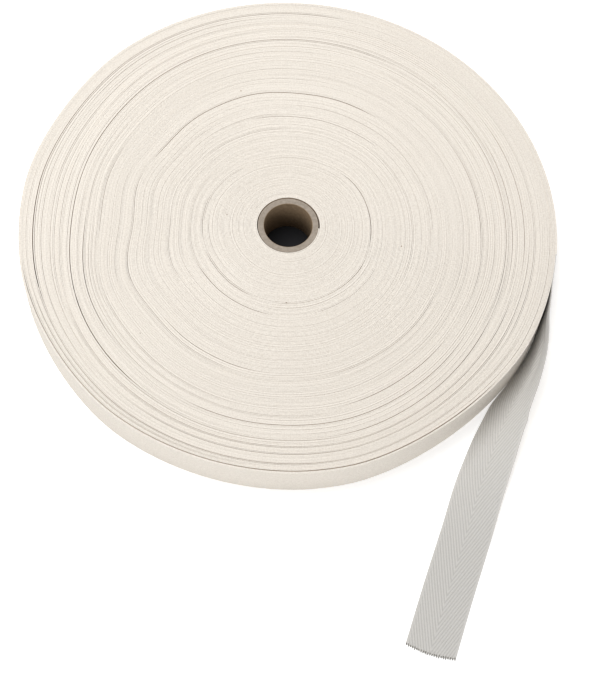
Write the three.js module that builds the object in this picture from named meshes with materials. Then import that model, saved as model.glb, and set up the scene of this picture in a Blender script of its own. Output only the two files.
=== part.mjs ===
// A roll of woven cotton tape on a card core. It lies flat on its side, and the loose end
// runs off the rim, leans over and comes to lie flat on the surface.
// Millimetres, Z up. While it is being shaped, the roll's axis is the line x = 0, y = 0.
import * as THREE from "three";

// Tape and core
const TAPE_WIDTH = 25;
const ROLL_RADIUS = 137.3;
const CORE_BORE_RADIUS = 12.7;
const CORE_OUTER_RADIUS = 16;
const CORE_LENGTH = 25.3;
const CORE_CHAMFER = 0.3;
const LOOSE_THICKNESS = 1;
const PIECE_GAP = 0.3;

// Steps round and along
const CORE_STEPS = 48;
const ROLL_STEPS = 90;
const LOOSE_STEPS_ALONG = 64;
const LOOSE_STEPS_ACROSS = 4;

// The winding is a little wider than it is deep, and a little off centre on its core
const OVAL = 1.2;
const OFF_CENTRE = 1.1;

// Soft flats in the winding. Heading and reach (half of the flat's width) are in degrees,
// heading from +X towards +Y. The other columns give the flat's depth, near the core, half way
// out and at the rim, as a share of how far a straight chord would cut in.
const FLATS = [
  { heading: 180, reach: 17, atCore: 0.05, halfWay: 0.65, atRim: 0.05 },
  { heading: -149, reach: 20, atCore: 0.05, halfWay: 0.55, atRim: 0.12 },
  { heading: 150, reach: 19, atCore: 0.0, halfWay: 0.35, atRim: 0.18 },
  { heading: -52, reach: 24, atCore: 0.0, halfWay: 0.25, atRim: 0.18 },
  { heading: -110, reach: 24, atCore: 0.0, halfWay: 0.3, atRim: 0.05 },
];

// Main rings of the upper face, as shares of the roll's radius. Each is a groove where two
// turns part, and the turns outside it lie at their own level.
const RINGS = [
  { share: 0.305, depth: 0.6, level: -0.2 },
  { share: 0.44, depth: 0.5, level: 0.0 },
  { share: 0.585, depth: 0.8, level: -0.4 },
  { share: 0.71, depth: 0.6, level: -0.1 },
  { share: 0.768, depth: 0.8, level: -0.4 },
  { share: 0.82, depth: 1.0, level: -0.2 },
  { share: 0.885, depth: 0.5, level: -0.4 },
  { share: 0.957, depth: 1.0, level: -0.6 },
];
const GROOVE_HALF_WIDTH = 0.7;
const RIM_ROUNDING = 0.5;

// The loose end's lower edge, first along the rim and then on the surface. Lean is the angle
// between the tape and the surface: 90 stands on edge, 0 lies flat.
const ALONG_RIM = [
  { heading: -6, lean: 90 },
  { heading: -13, lean: 90 },
  { heading: -20, lean: 85 },
  { heading: -27, lean: 70 },
  { heading: -34, lean: 52 },
];
const ON_SURFACE = [
  { x: 104.4, y: -88.4, lean: 42 },
  { x: 99.7, y: -96.6, lean: 32 },
  { x: 95.1, y: -104.5, lean: 22 },
  { x: 91.2, y: -112.6, lean: 13 },
  { x: 84.6, y: -128.6, lean: 5 },
  { x: 76.8, y: -152.2, lean: 1 },
  { x: 66.4, y: -183.2, lean: 0 },
  { x: 56.8, y: -213.2, lean: 0 },
];
const CUT_BULGE = 1.4;

const tapeCloth = new THREE.MeshStandardMaterial({ color: 0xece4d8, roughness: 0.95, metalness: 0 });
const looseCloth = new THREE.MeshStandardMaterial({ color: 0xd6d2ca, roughness: 0.9, metalness: 0 });
const card = new THREE.MeshStandardMaterial({ color: 0x9e9286, roughness: 0.9, metalness: 0 });

const radians = THREE.MathUtils.degToRad;

// The smaller angle between two headings, in radians
function apart(heading, other) {
  const turn = 2 * Math.PI;
  const difference = THREE.MathUtils.euclideanModulo(heading - other + Math.PI, turn) - Math.PI;
  return Math.abs(difference);
}

// How deep a flat is at a share of the way from the core to the rim
function flatDepth(flat, share) {
  if (share < 0.5) {
    return THREE.MathUtils.lerp(flat.atCore, flat.halfWay, share / 0.5);
  }
  return THREE.MathUtils.lerp(flat.halfWay, flat.atRim, (share - 0.5) / 0.5);
}

// The radius, at a heading in radians, of the turn whose mean radius is given
function turnRadius(mean, heading) {
  const share = (mean - CORE_OUTER_RADIUS) / (ROLL_RADIUS - CORE_OUTER_RADIUS);
  let radius = mean + share * (OVAL * Math.cos(2 * heading) + OFF_CENTRE * Math.sin(heading));
  for (const flat of FLATS) {
    const reach = radians(flat.reach);
    const off = apart(heading, radians(flat.heading));
    if (off < reach) {
      const fade = (1 - (off / reach) ** 2) ** 1.5;
      radius -= mean * flatDepth(flat, share) * (1 - Math.cos(reach)) * fade;
    }
  }
  return radius;
}

// A lathed body. Its profile is turned about Y, so it is stood up to turn about Z.
function lathed(profile, steps) {
  const points = profile.map(([radius, height]) => new THREE.Vector2(radius, height));
  points.push(points[0].clone());
  return new THREE.LatheGeometry(points, steps).rotateX(Math.PI / 2);
}

// The card tube, with its end edges just broken
function coreTube() {
  const profile = [
    [CORE_BORE_RADIUS, 0],
    [CORE_OUTER_RADIUS, 0],
    [CORE_OUTER_RADIUS, CORE_LENGTH - CORE_CHAMFER],
    [CORE_OUTER_RADIUS - CORE_CHAMFER, CORE_LENGTH],
    [CORE_BORE_RADIUS + CORE_CHAMFER, CORE_LENGTH],
    [CORE_BORE_RADIUS, CORE_LENGTH - CORE_CHAMFER],
  ];
  return lathed(profile, CORE_STEPS);
}

// The wound tape: a ring with a flat underside, and grooves and levels in its upper face
function woundTape() {
  const innerRadius = CORE_OUTER_RADIUS + PIECE_GAP;
  const profile = [[innerRadius, 0], [ROLL_RADIUS, 0]];
  const upper = [[innerRadius, TAPE_WIDTH]];
  let level = 0;
  for (const ring of RINGS) {
    const middle = ring.share * ROLL_RADIUS;
    const lowest = Math.min(level, ring.level) - ring.depth;
    upper.push([middle - GROOVE_HALF_WIDTH, TAPE_WIDTH + level]);
    upper.push([middle, TAPE_WIDTH + lowest]);
    upper.push([middle + GROOVE_HALF_WIDTH, TAPE_WIDTH + ring.level]);
    level = ring.level;
  }
  upper.push([ROLL_RADIUS - RIM_ROUNDING, TAPE_WIDTH + level]);
  upper.push([ROLL_RADIUS, TAPE_WIDTH + level - RIM_ROUNDING]);
  const geometry = lathed(profile.concat(upper.reverse()), ROLL_STEPS);
  const place = geometry.attributes.position;
  for (let i = 0; i < place.count; i += 1) {
    const mean = Math.hypot(place.getX(i), place.getY(i));
    const heading = Math.atan2(place.getY(i), place.getX(i));
    const radius = Math.max(turnRadius(mean, heading), innerRadius);
    place.setXY(i, radius * Math.cos(heading), radius * Math.sin(heading));
  }
  return geometry;
}

// Sections of the loose end: a point on its lower edge, and the lean there
function looseSections() {
  const clear = PIECE_GAP + LOOSE_THICKNESS / 2;
  const sections = ALONG_RIM.map((row) => {
    const heading = radians(row.heading);
    const radius = turnRadius(ROLL_RADIUS, heading) + clear;
    return { x: radius * Math.cos(heading), y: radius * Math.sin(heading), lean: row.lean };
  });
  return sections.concat(ON_SURFACE);
}

// The loose end: a flat strip, whose every vertex is carried onto the lower edge's curve
function looseEnd() {
  const sections = looseSections();
  const edge = new THREE.CatmullRomCurve3(sections.map(({ x, y }) => new THREE.Vector3(x, y, 0)));
  const leans = new THREE.SplineCurve(sections.map(({ lean }) => new THREE.Vector2(lean, 0)));
  const length = edge.getLength();
  const strip = new THREE.BoxGeometry(
    length, TAPE_WIDTH, LOOSE_THICKNESS, LOOSE_STEPS_ALONG, LOOSE_STEPS_ACROSS, 1);
  const place = strip.attributes.position;
  const up = new THREE.Vector3(0, 0, 1);
  for (let i = 0; i < place.count; i += 1) {
    const across = place.getY(i) + TAPE_WIDTH / 2;
    const through = place.getZ(i);
    const short = CUT_BULGE * (1 - Math.sin((Math.PI * across) / TAPE_WIDTH));
    const along = THREE.MathUtils.clamp((place.getX(i) / length + 0.5) * (length - short), 0, length);
    const t = edge.getUtoTmapping(0, along);
    const ahead = edge.getTangent(t);
    const lean = radians(THREE.MathUtils.clamp(leans.getPoint(t).x, 0, 90));
    const outward = new THREE.Vector3(-ahead.y, ahead.x, 0);
    const width = outward.clone().multiplyScalar(Math.cos(lean)).addScaledVector(up, Math.sin(lean));
    const normal = outward.multiplyScalar(-Math.sin(lean)).addScaledVector(up, Math.cos(lean));
    const at = edge.getPoint(t);
    at.z = (LOOSE_THICKNESS / 2) * Math.cos(lean);
    at.addScaledVector(width, across).addScaledVector(normal, through);
    place.setXYZ(i, at.x, at.y, at.z);
  }
  return strip;
}

// A named sub-part of the roll
function piece(name, geometry, material) {
  const mesh = new THREE.Mesh(geometry, material);
  mesh.name = name;
  return mesh;
}

const roll = new THREE.Group();
roll.add(piece("core_tube", coreTube(), card));
roll.add(piece("wound_tape", woundTape(), tapeCloth));
roll.add(piece("loose_end", looseEnd(), looseCloth));

// The origin is the middle of the whole footprint, on the surface
const footprint = new THREE.Box3().setFromObject(roll);
const middle = footprint.getCenter(new THREE.Vector3());
roll.position.set(-middle.x, -middle.y, -footprint.min.z);

export default roll;
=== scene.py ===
# %% [markdown]
# # A roll of woven cotton tape, lying flat
# The object is a big pancake of tie tape: some two hundred turns of herringbone cotton tape
# wound on a short card core. It lies on its side, so its upper face is made of nothing but tape
# edges, and the outer end of the tape runs off the rim, leans over and lies flat.
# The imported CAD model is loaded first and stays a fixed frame. Shapes are worked out in
# millimetres, which suit a tape, and are turned into metres as they enter Blender.

import math
import random

import bmesh
import bpy
import numpy as np
from mathutils import Matrix, Quaternion, Vector


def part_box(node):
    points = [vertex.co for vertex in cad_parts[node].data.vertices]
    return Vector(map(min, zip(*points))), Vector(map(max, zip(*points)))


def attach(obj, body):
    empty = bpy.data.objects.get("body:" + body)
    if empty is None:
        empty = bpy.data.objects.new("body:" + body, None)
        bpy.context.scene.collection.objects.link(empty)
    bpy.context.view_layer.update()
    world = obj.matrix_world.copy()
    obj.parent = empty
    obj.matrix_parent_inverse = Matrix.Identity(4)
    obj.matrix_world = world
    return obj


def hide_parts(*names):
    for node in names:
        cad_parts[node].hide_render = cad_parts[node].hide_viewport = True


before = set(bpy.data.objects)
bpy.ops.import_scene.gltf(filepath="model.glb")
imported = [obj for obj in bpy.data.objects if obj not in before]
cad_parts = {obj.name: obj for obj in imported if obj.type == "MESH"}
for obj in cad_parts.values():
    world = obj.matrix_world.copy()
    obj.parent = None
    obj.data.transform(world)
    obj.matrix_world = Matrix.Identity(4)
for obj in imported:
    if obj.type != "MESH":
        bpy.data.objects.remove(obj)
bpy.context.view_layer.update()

MM = 0.001
core_low, core_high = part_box("core_tube")
AXIS = (core_low + core_high) / 2
print("the roll's axis stands at", round(AXIS.x, 5), round(AXIS.y, 5))

# %% [markdown]
# ## Camera
# The photograph looks down on the roll from a steep angle, from nearly a metre away. The camera
# is placed by the point that it aims at, its distance, its height above the table as an angle,
# and a small turn and roll. A long lens keeps the face nearly free of perspective.

# %% Camera
CAMERA_AIM = Vector((6.8, -51.9, 0)) * MM
CAMERA_DISTANCE = 925 * MM
CAMERA_ELEVATION = math.radians(65.73)
CAMERA_TURN = math.radians(3.71)
CAMERA_ROLL = math.radians(4.07)
CAMERA_LENS = 96
CAMERA_SENSOR = 36

level_way = Vector((-math.sin(CAMERA_TURN), -math.cos(CAMERA_TURN), 0))
camera_way = level_way * math.cos(CAMERA_ELEVATION) + Vector((0, 0, math.sin(CAMERA_ELEVATION)))
camera_data = bpy.data.cameras.new("camera")
camera_data.lens = CAMERA_LENS
camera_data.sensor_width = CAMERA_SENSOR
camera = bpy.data.objects.new("camera", camera_data)
bpy.context.scene.collection.objects.link(camera)
aim = Vector((AXIS.x, AXIS.y, 0)) + CAMERA_AIM
camera.location = aim + camera_way * CAMERA_DISTANCE
camera.rotation_mode = "QUATERNION"
looking = (-camera_way).to_track_quat("-Z", "Y")
camera.rotation_quaternion = looking @ Quaternion((0, 0, 1), CAMERA_ROLL)
bpy.context.scene.camera = camera
print("camera at", [round(value, 3) for value in camera.location])

# %% [markdown]
# ## Floor and light
# The roll was photographed on white, in wide soft light from above and a little from the far
# left. A big plain sheet is the floor, glowing faintly like a lit table, so that the shadows stay
# pale. The sky gives light from all sides, one large lamp hangs nearly overhead, and a second one
# stands low in front, so that the rim is as pale as the face. A small dark disc lies on the floor
# under the bore as painted shade, so that the bore's bottom looks dark. It belongs to the stage,
# as the floor does.

# %% Floor and light
FLOOR_SIZE = 8.0
FLOOR_WHITE = (0.93, 0.93, 0.93, 1)
FLOOR_ROUGHNESS = 0.9
FLOOR_SPECULAR = 0.1
FLOOR_GLOW = 0.38
SKY_STRENGTH = 0.40
# Each lamp: name, place, width and power in watts
LAMPS = (
    ("key", Vector((-0.21, 0.22, 0.98)), 0.75, 8.5),
    ("fill", Vector((-0.35, -1.55, 0.75)), 1.0, 7),
)
# Painted shade under the bore, a dark disc on the floor: radius and height in mm
BORE_SHADE_RADIUS = 12.9
BORE_SHADE_HEIGHT = 0.2
BORE_SHADE_SEGMENTS = 64
BORE_SHADE_COLOUR = (0.008, 0.008, 0.010, 1)


def new_object(name, bm):
    """Turns a bmesh into an object at the origin, and frees the bmesh."""
    mesh = bpy.data.meshes.new(name)
    bm.to_mesh(mesh)
    bm.free()
    thing = bpy.data.objects.new(name, mesh)
    bpy.context.scene.collection.objects.link(thing)
    return thing


def plain_material(name, colour, roughness):
    """A material with one Principled shader, returned with that shader and its node tree."""
    material = bpy.data.materials.new(name)
    material.use_nodes = True
    tree = material.node_tree
    shader = tree.nodes["Principled BSDF"]
    shader.inputs["Base Color"].default_value = colour
    shader.inputs["Roughness"].default_value = roughness
    return material, shader, tree


floor_bm = bmesh.new()
bmesh.ops.create_grid(floor_bm, x_segments=1, y_segments=1, size=FLOOR_SIZE / 2)
floor = new_object("floor", floor_bm)
floor_material, floor_shader, _ = plain_material("floor white", FLOOR_WHITE, FLOOR_ROUGHNESS)
floor_shader.inputs["Specular IOR Level"].default_value = FLOOR_SPECULAR
floor_shader.inputs["Emission Color"].default_value = (1, 1, 1, 1)
floor_shader.inputs["Emission Strength"].default_value = FLOOR_GLOW
floor.data.materials.append(floor_material)

sky = bpy.data.worlds.new("studio")
sky.use_nodes = True
sky.node_tree.nodes["Background"].inputs["Color"].default_value = (1, 1, 1, 1)
sky.node_tree.nodes["Background"].inputs["Strength"].default_value = SKY_STRENGTH
bpy.context.scene.world = sky
bpy.context.scene.view_settings.view_transform = "Standard"

for lamp_name, place, width, power in LAMPS:
    lamp_data = bpy.data.lights.new(lamp_name, "AREA")
    lamp_data.shape = "DISK"
    lamp_data.size = width
    lamp_data.energy = power
    lamp = bpy.data.objects.new(lamp_name, lamp_data)
    lamp.location = place
    lamp.rotation_euler = (-place).to_track_quat("-Z", "Y").to_euler()
    bpy.context.scene.collection.objects.link(lamp)

# The bore's painted shade: a dark disc lying on the floor under the bore
bore_shade_bm = bmesh.new()
bmesh.ops.create_circle(bore_shade_bm, cap_ends=True, segments=BORE_SHADE_SEGMENTS,
                        radius=BORE_SHADE_RADIUS * MM)
bmesh.ops.translate(bore_shade_bm, vec=(AXIS.x, AXIS.y, BORE_SHADE_HEIGHT * MM), verts=bore_shade_bm.verts)
bore_shade_disc = new_object("painted_bore_shade", bore_shade_bm)
bore_shade_material, _, _ = plain_material("painted bore shade", BORE_SHADE_COLOUR, FLOOR_ROUGHNESS)
bore_shade_disc.data.materials.append(bore_shade_material)
print("floor", FLOOR_SIZE, "m wide, sky", SKY_STRENGTH, "and", len(LAMPS), "lamps")

# %% [markdown]
# ## The winding's shape
# A hand-wound roll is never a stack of true circles. Its turns are a little oval, a little off
# centre and flat in places. The shape is described by a few contours: the core, three rings that
# show well on the face, and the rim. Each contour gives the radius every 15 degrees of heading,
# from heading -180 on, and the turns between two contours are blended from them.
# A short row of numbers becomes a smooth closed curve through its Fourier series: the same waves,
# read off at more places.
# The photograph shows the core a little smaller than the standard tube of the CAD model, so the
# core has a radius of its own here, and the first turns close up to it.

# %% The winding's shape
TAPE_WIDTH = 25.0
CORE_OUTER_RADIUS = 16.0
CORE_SHOWN_RADIUS = 15.6
CORE_CLEARANCE = 0.05
ROLL_RADIUS = 137.3
PIECE_GAP = 0.3
OVAL = 1.2
OFF_CENTRE = 1.1
FINE_HEADINGS = 720
FLAT_FADE = 1.5

# Soft flats at the rim: heading, reach to each side, depth as a share of a straight chord's
RIM_FLATS = (
    (180, 17, 0.05),
    (-149, 20, 0.12),
    (150, 19, 0.18),
    (-52, 24, 0.18),
    (-110, 24, 0.05),
)
INNER_RING = (
    44.3, 44.3, 44.0, 44.0, 44.0, 44.2, 44.3, 44.2, 44.0, 44.0, 43.8, 43.0,
    42.5, 42.3, 42.2, 41.6, 40.6, 40.1, 40.0, 40.2, 41.0, 42.0, 43.2, 44.0,
)
MIDDLE_RING = (
    79.8, 84.6, 85.2, 84.5, 85.4, 85.7, 85.6, 85.3, 84.8, 84.4, 83.8, 82.9,
    82.0, 81.4, 80.8, 80.3, 79.8, 79.5, 79.8, 80.4, 80.2, 79.4, 79.8, 81.2,
)
OUTER_RING = (
    110.6, 113.0, 115.0, 115.8, 116.4, 116.8, 117.0, 117.4, 116.4, 115.1, 114.1, 113.7,
    113.4, 113.2, 113.0, 112.9, 112.8, 112.6, 112.6, 112.3, 111.8, 111.0, 110.4, 110.2,
)


def rim_radius(heading):
    """The roll's outer radius in mm at a heading in radians, as in the CAD model."""
    radius = ROLL_RADIUS + OVAL * np.cos(2 * heading) + OFF_CENTRE * np.sin(heading)
    for place, reach, depth in RIM_FLATS:
        off = (np.degrees(heading) - place + 180) % 360 - 180
        fade = np.clip(1 - (off / reach) ** 2, 0, None) ** FLAT_FADE
        radius = radius - ROLL_RADIUS * depth * (1 - math.cos(math.radians(reach))) * fade
    return radius


def smooth_contour(radii):
    """A closed smooth curve through evenly spaced radii, read off at FINE_HEADINGS places."""
    waves = np.fft.rfft(np.array(radii))
    return np.fft.irfft(waves, FINE_HEADINGS) * FINE_HEADINGS / len(radii)


fine_headings = np.linspace(-math.pi, math.pi, FINE_HEADINGS, endpoint=False)
contours = np.array([
    np.full(FINE_HEADINGS, CORE_SHOWN_RADIUS + CORE_CLEARANCE),
    smooth_contour(INNER_RING),
    smooth_contour(MIDDLE_RING),
    smooth_contour(OUTER_RING),
    rim_radius(fine_headings),
])
contour_means = contours.mean(axis=1)
contour_means[0] = CORE_OUTER_RADIUS + PIECE_GAP
contour_means[-1] = ROLL_RADIUS


def turn_radius(mean, heading):
    """Radius in mm of the turn whose mean radius is given, and how far its turns are spread."""
    column = ((heading + math.pi) / (2 * math.pi) * FINE_HEADINGS) % FINE_HEADINGS
    left = np.floor(column).astype(int) % FINE_HEADINGS
    right = (left + 1) % FINE_HEADINGS
    part = column - np.floor(column)
    row = np.clip(np.searchsorted(contour_means, mean) - 1, 0, len(contour_means) - 2)
    inside = contours[row, left] * (1 - part) + contours[row, right] * part
    outside = contours[row + 1, left] * (1 - part) + contours[row + 1, right] * part
    spread = (outside - inside) / (contour_means[row + 1] - contour_means[row])
    return inside + (mean - contour_means[row]) * spread, spread


print("contours' mean radii", [round(float(value), 1) for value in contour_means], "mm")

# %% [markdown]
# ## Rings on the face
# Where the tape was wound a little looser, two turns part and a dark ring shows. A ring runs only
# part of the way round, so each has its mean radius, its gap and the headings between which it
# shows. Many faint rings are added at random, with a fixed seed so that every run is the same.

# %% Rings on the face
# Mean radius in mm, gap in mm, and the two headings in degrees between which it shows
RINGS = [
    (113.8, 0.52, 62, 158), (113.8, 0.34, 158, 196), (113.8, 0.40, 198, 228),
    (113.8, 0.28, 283, 332),
    (113.8, 0.20, -25, 40), (112.6, 0.14, -20, 30), (115.4, 0.14, -18, 25),
    (106.9, 0.25, 178, 214), (106.9, 0.30, 245, 322), (106.9, 0.15, -18, 10),
    (106.9, 0.15, 80, 108), (106.0, 0.20, 143, 170),
    (99.5, 0.30, 288, 318), (99.5, 0.14, -8, 55), (102.3, 0.20, 178, 278),
    (99.3, 0.20, 155, 184),
    (82.3, 0.42, 58, 150), (82.3, 0.25, 160, 250), (82.3, 0.25, 285, 332),
    (79.6, 0.20, 222, 258), (85.6, 0.20, 288, 330),
    (67.5, 0.26, 48, 106), (68.3, 0.18, 92, 124), (60.0, 0.20, 92, 134),
    (61.2, 0.20, 178, 208), (49.6, 0.26, 210, 258), (49.6, 0.20, 288, 332),
    (42.9, 0.36, 202, 244), (42.9, 0.20, 262, 332), (42.9, 0.34, -10, 45),
    (42.9, 0.14, 55, 104), (42.9, 0.20, 158, 188),
    (130.3, 0.55, 78, 198), (131.0, 0.25, 196, 330), (133.6, 0.25, 200, 260),
    (135.6, 0.40, 192, 318), (124.2, 0.22, 236, 335), (119.6, 0.25, 205, 338),
    (127.0, 0.10, 150, 215), (121.4, 0.16, 150, 205), (118.8, 0.14, 160, 200),
]
RING_SEED = 11
FAINT_RINGS = 120
# Three faint rings in four lie in the outer band of radii, the others in the inner one
FAINT_OUTER_BAND = (96, 136)
FAINT_INNER_BAND = (38, 96)
FAINT_MIDDLES = (205, 225, 120, 150, 100, 250, 300, 330, 10, 40, 70, 180)
FAINT_REACHES = (14, 40)
FAINT_GAPS = (0.05, 0.14)
chance = random.Random(RING_SEED)
for number in range(FAINT_RINGS):
    faint_band = FAINT_OUTER_BAND if number % 4 else FAINT_INNER_BAND
    faint_radius = chance.uniform(*faint_band)
    middle = chance.choice(FAINT_MIDDLES)
    reach = chance.uniform(*FAINT_REACHES)
    faint_gap = chance.uniform(*FAINT_GAPS)
    RINGS.append((faint_radius, faint_gap, middle - reach, middle + reach))
# A ring fades in over so many degrees, and its push dies away over so many turns
RING_FADE = 12
RING_DECAY = 5.0
print(len(RINGS), "rings in all")

# %% [markdown]
# ## One turn after another
# The tape is one strip wound as a spiral. Its cross-section is a thin rectangle with rounded
# ends: a grid of one face, its corners bevelled. Copies of that section stand side by side, one
# for each turn, and one spin carries them all round the axis. With each step of the spin they
# also move out a little, by a share of the pitch, so the end of each turn meets the start of the
# next and the doubles merge into one spiral. A few bands of turns are spun one by one, because a
# spin slows down as its mesh grows.

# %% Spin the bands
TURNS = 204
BANDS = 6
SPIN_STEPS = 144
START_HEADING = math.radians(-6)
FIRST_RADIUS = CORE_OUTER_RADIUS + PIECE_GAP
PITCH = (ROLL_RADIUS - FIRST_RADIUS) / (TURNS + 1)
TAPE_THICKNESS = 0.56
SELVEDGE_ROUNDING = 0.15
MERGE_DISTANCE = 1e-6


def tape_section(bm):
    """The tape's cross-section, standing on edge at the axis: a loop of edges in the XZ plane."""
    bmesh.ops.create_grid(bm, x_segments=1, y_segments=1, size=0.5)
    bmesh.ops.scale(bm, vec=(TAPE_THICKNESS * MM, TAPE_WIDTH * MM, 1), verts=bm.verts)
    upright = Matrix.Rotation(math.pi / 2, 3, "X")
    bmesh.ops.rotate(bm, cent=(0, 0, 0), matrix=upright, verts=bm.verts)
    bmesh.ops.translate(bm, vec=(0, 0, TAPE_WIDTH / 2 * MM), verts=bm.verts)
    bmesh.ops.bevel(bm, geom=bm.verts[:], offset=SELVEDGE_ROUNDING * MM, offset_type="OFFSET",
                    segments=2, profile=0.5, affect="VERTICES", material=-1)
    bmesh.ops.delete(bm, geom=bm.faces[:], context="FACES_ONLY")


def spin_band(first_turn, last_turn):
    """A band of turns round the Z axis, each vertex knowing how far through the tape it lies."""
    bm = bmesh.new()
    tape_section(bm)
    through = bm.verts.layers.float.new("through")
    for vert in bm.verts:
        vert[through] = vert.co.x / MM
    section = bm.verts[:] + bm.edges[:]
    first_place = FIRST_RADIUS + PITCH * (first_turn + 0.5)
    bmesh.ops.translate(bm, vec=(first_place * MM, 0, 0), verts=bm.verts)
    for turn in range(1, last_turn - first_turn):
        copied = bmesh.ops.duplicate(bm, geom=section)["geom"]
        copied_verts = [item for item in copied if isinstance(item, bmesh.types.BMVert)]
        bmesh.ops.translate(bm, vec=(PITCH * turn * MM, 0, 0), verts=copied_verts)
    to_start = Matrix.Rotation(START_HEADING, 3, "Z")
    bmesh.ops.rotate(bm, cent=(0, 0, 0), matrix=to_start, verts=bm.verts)
    outwards = to_start @ Vector((PITCH * MM / SPIN_STEPS, 0, 0))
    bmesh.ops.spin(bm, geom=bm.verts[:] + bm.edges[:], cent=(0, 0, 0), axis=(0, 0, 1),
                   dvec=outwards, angle=-2 * math.pi, steps=SPIN_STEPS,
                   use_merge=False, use_normal_flip=False, use_duplicate=False)
    bmesh.ops.remove_doubles(bm, verts=bm.verts[:], dist=MERGE_DISTANCE)
    bmesh.ops.recalc_face_normals(bm, faces=bm.faces[:])
    for face in bm.faces:
        face.smooth = True
    open_edges = [edge for edge in bm.edges if edge.is_boundary]
    caps = bmesh.ops.holes_fill(bm, edges=open_edges, sides=0)["faces"]
    for cap in caps:
        cap.smooth = False
        for edge in cap.edges:
            edge.smooth = False
    return bm


band_edges = [round(TURNS * number / BANDS) for number in range(BANDS + 1)]
bands = []
for number in range(BANDS):
    band_bm = spin_band(band_edges[number], band_edges[number + 1])
    bands.append(new_object("wound_turns_" + str(number + 1), band_bm))
    print(bands[-1].name, len(bands[-1].data.polygons), "faces")

# %% [markdown]
# ## Lay the turns
# Every vertex knows its place along the tape: its radius in the even spiral, counted in turns.
# That one number decides everything else. It gives the turn's real radius from the contours, the
# gap at a ring, and how high the tape's edge stands there. The edge's height wanders slowly along
# the tape, so neighbouring turns stand a little higher or lower, as they do on a wound roll.

# %% How the turns lie
# Levels of the face in mm, by the share of the way from the core to the rim
LEVEL_SHARES = (0, 0.3, 0.44, 0.6, 0.71, 0.77, 0.82, 0.885, 0.957, 1)
LEVELS = (0.0, -0.1, 0.0, -0.3, -0.1, -0.35, -0.1, -0.3, -0.3, -0.6)
# How far in mm single turns and groups of turns stray from that level, by the same share
WANDER_SHARES = (0, 0.25, 0.5, 0.75, 1)
WANDER_HEIGHTS = (0.03, 0.05, 0.07, 0.10, 0.12)
WANDER_KNOTS_PER_TURN = 1.4
GROUP_WIDTH = 1.25
GROUP_HEIGHTS = (0.02, 0.04, 0.05, 0.08, 0.10)
LOWER_EDGE_LIFT = 0.12
SIDE_WANDER = 0.04
WANDER_SEED = 5
# A thousandth of a turn or a knot, to stay clear of rounding
HAIR = 0.001
knot_count = int(TURNS * WANDER_KNOTS_PER_TURN) + 4
luck = np.random.default_rng(WANDER_SEED)
top_knots = luck.uniform(-1, 1, knot_count)
bottom_knots = luck.uniform(0, 1, knot_count)
side_knots = luck.uniform(-1, 1, knot_count)
group_knots = luck.uniform(-1, 1, int(ROLL_RADIUS / GROUP_WIDTH) + 4)


def wander(place, knots):
    """A smooth walk through a row of random knots, one unit of place apart."""
    place = np.clip(place, 0, len(knots) - 1 - HAIR)
    step = np.floor(place).astype(int)
    part = place - step
    ease = part * part * (3 - 2 * part)
    return knots[step] * (1 - ease) + knots[step + 1] * ease


def ring_push(turns, heading):
    """How far in mm the rings' gaps push each place of the tape out or in."""
    degrees = np.degrees(heading)
    push = np.zeros_like(turns)
    for mean, gap, start, end in RINGS:
        ring_turns = (mean - FIRST_RADIUS) / PITCH - 0.5
        away = turns - ring_turns
        off = np.abs((degrees - (start + end) / 2 + 180) % 360 - 180)
        shown = np.clip(((end - start) / 2 + RING_FADE / 2 - off) / RING_FADE, 0, 1)
        ramp = np.clip(away * 2, -1, 1) * np.exp(-np.abs(away) / RING_DECAY)
        push += gap / 2 * ramp * shown * shown * (3 - 2 * shown)
    return push


def tape_length(turns):
    """Length of the even spiral in metres from the core to a place counted in turns."""
    return (2 * math.pi * (FIRST_RADIUS + PITCH / 2) * turns + math.pi * PITCH * turns ** 2) * MM


print(knot_count, "places where a turn's height changes")

# %% [markdown]
# Numpy reads all the vertices of a band at once and writes them back at once, which is much
# quicker than a loop in Python. On the way the tape is unrolled into a UV map: U is the length
# along the tape and V the height across it, both in metres. An attribute called buried says which
# vertices lie inside the winding, for the material to use: all but the last turn's outer side,
# which is the rim.

# %% Lay the turns
LAST_TURN_START = TURNS - 1 - HAIR


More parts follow.
